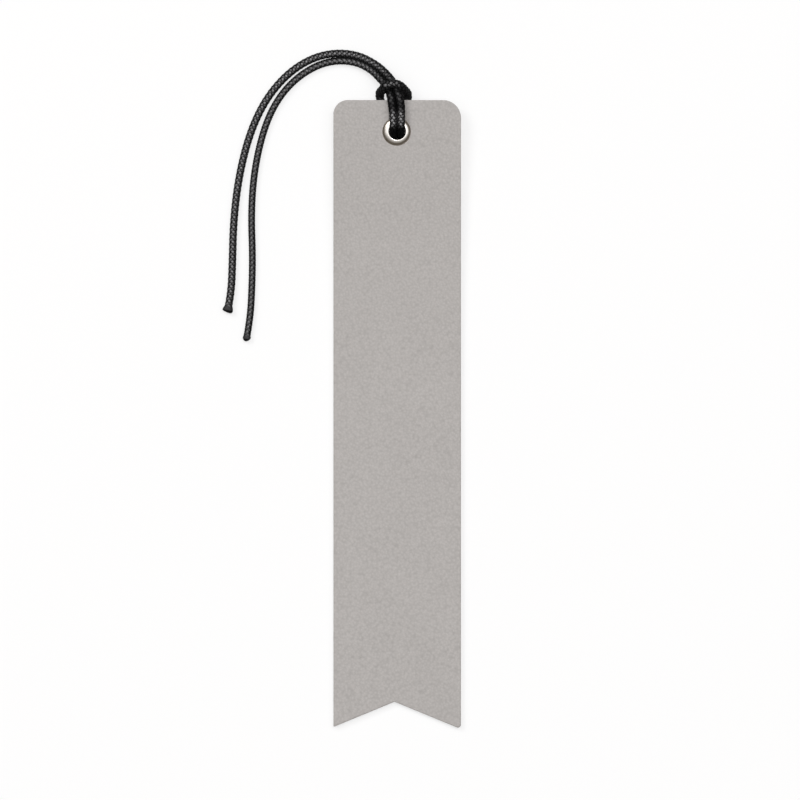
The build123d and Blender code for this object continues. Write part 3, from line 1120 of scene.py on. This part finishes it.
def dress_cord():
    """The hitch and the two tails, one unbroken braid in three pieces."""
    route = make_route()
    line = [vertex.co.copy() for vertex in route.vertices]
    runs = [0.0]
    for start, end in zip(line, line[1:]):
        runs.append(runs[-1] + (end - start).length)
    outer_exit = nearest(line, HITCH_ROUTE[0])
    inner_exit = nearest(line, HITCH_ROUTE[-1])
    overlap = BRAID_STEP * MM
    stretches = {
        "outer_tail_braid": (-overlap, runs[outer_exit] + overlap),
        "hitch_braid": (runs[outer_exit], runs[inner_exit]),
        "inner_tail_braid": (runs[inner_exit] - overlap, runs[-1] + overlap),
    }
    meshes = make_braids(route, stretches)
    melted = make_melted_black()
    seal_end(meshes["outer_tail_braid"], line[0], line[END_POINTS], OUTER_SEAL, melted)
    seal_end(meshes["inner_tail_braid"], line[-1], line[-1 - END_POINTS], INNER_SEAL, melted)
    hitch = show("hitch_braid", meshes["hitch_braid"])
    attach(hitch, "hitch")
    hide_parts("cord_hitch")
    outer_path = line[outer_exit::-1]
    inner_path = line[inner_exit:]
    tails = [
        (
            "outer_tail_braid", "outer_tail", "cord_tail_outer",
            HITCH_ROUTE[0], outer_path, OUTER_LENGTH, OUTER_RADIUS,
        ),
        (
            "inner_tail_braid", "inner_tail", "cord_tail_inner",
            HITCH_ROUTE[-1], inner_path, INNER_LENGTH, INNER_RADIUS,
        ),
    ]
    reach = Vector((-sin(LIFT_HEADING), cos(LIFT_HEADING), 0)) * (LIFT_BLEND * MM)
    for name, body, node, place, path, length, radius in tails:
        tail = show(name, meshes[name])
        start = Vector(place) * MM
        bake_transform(tail, "hitch", body, start=start, end=start + reach)
        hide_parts(node)


# Stage
def make_floor():
    """A pale table top that shows white but keeps the object's soft shadow."""
    material, tree = new_material("table_white")
    camera = tree.add("ShaderNodeLightPath", {}, {}, "Is Camera Ray")
    seen = tree.maths("MAXIMUM", camera, camera.other("Is Glossy Ray"))
    seen = tree.maths("MAXIMUM", seen, camera.other("Is Transmission Ray"))
    across = tree.add("ShaderNodeSeparateXYZ", {}, {"Vector": own_place(tree)}, "X")
    off_middle = across * across + (across.other("Y") - EYELET_Y * MM) ** 2.0
    beneath = off_middle < (DIM_RADIUS * MM) ** 2
    matt = tree.add("ShaderNodeBsdfDiffuse", {}, {"Color": TABLE_COLOUR})
    white = tree.add("ShaderNodeEmission", {}, {"Color": WHITE, "Strength": 1.0})
    sockets = {"Fac": seen * TABLE_GLOW * (1 - beneath), 1: matt, 2: white}
    surface(tree, tree.add("ShaderNodeMixShader", {}, sockets))
    half = TABLE_HALF
    corners = [(-half, -half, 0), (half, -half, 0), (half, half, 0), (-half, half, 0)]
    show("table", new_mesh("table", corners, [(0, 1, 2, 3)], material))


def make_sky():
    """A bright dome overhead, dimmer to the south and dark low down, that the camera sees as white."""
    world = bpy.data.worlds.new("studio")
    bpy.context.scene.world = world
    world.use_nodes = True
    world.node_tree.nodes.clear()
    tree = Tree(world.node_tree)
    camera = tree.add("ShaderNodeLightPath", {}, {}, "Is Camera Ray")
    direction = tree.add("ShaderNodeTexCoord", {}, {}, "Generated")
    upward = tree.add("ShaderNodeSeparateXYZ", {}, {"Vector": direction}, "Z")
    dome = eased(tree, upward, *DOME_BOUNDS)
    north = eased(tree, upward.other("Y"), *NORTH_BOUNDS)
    bright = dome * (north * (1 - SOUTH_SHARE) + SOUTH_SHARE)
    sky = blended(tree, bright, *SKY_COLOURS)
    light = tree.add("ShaderNodeBackground", {}, {"Color": sky, "Strength": 1.0})
    white = tree.add("ShaderNodeBackground", {}, {"Color": WHITE, "Strength": 1.0})
    shader = tree.add("ShaderNodeMixShader", {}, {"Fac": camera, 1: light, 2: white})
    tree.add("ShaderNodeOutputWorld", {}, {"Surface": shader})


def make_lamps():
    """Soft round lamps that face the blade: a wide one at the upper left, a small one overhead."""
    for name, place, size, watts in LAMPS:
        light = bpy.data.lights.new(name, "AREA")
        light.shape = "DISK"
        light.size = size
        light.energy = watts
        light.color = LAMP_COLOUR
        lamp = show(name, light)
        lamp.location = place
        lamp.rotation_euler = (-Vector(place)).to_track_quat("-Z", "Y").to_euler()
        lamp.visible_camera = False


def make_camera():
    """The photograph's view: straight down on the blade's face."""
    lens = bpy.data.cameras.new("above")
    lens.lens = LENS
    lens.sensor_width = SENSOR
    lens.clip_start = CLIP_START
    lens.clip_end = CLIP_END
    camera = show("above", lens)
    distance = VIEW_WIDTH * LENS / SENSOR
    camera.location = (Vector(VIEW_CENTRE) + Vector((0, 0, distance))) * MM
    bpy.context.scene.camera = camera


make_camera()
dress_cord()

leatherette = make_leatherette()
plan = blade_plan()
for name, layer in (("front_ply", FRONT_PLY), ("back_ply", BACK_PLY)):
    ply = make_ply(name + "_skin", layer, plan, leatherette)
    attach(ply, "strip")
    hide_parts(name)

eyelet = make_eyelet(make_nickel("nickel"))
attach(eyelet, "strip")
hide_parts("eyelet")

inner_finishes = {"stiffener_core": make_board(), "eyelet_washer": make_nickel("nickel_washer")}
for name, material in inner_finishes.items():
    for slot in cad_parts[name].material_slots:
        slot.material = material

make_floor()
make_sky()
make_lamps()
bpy.context.scene.view_settings.view_transform = "Standard"
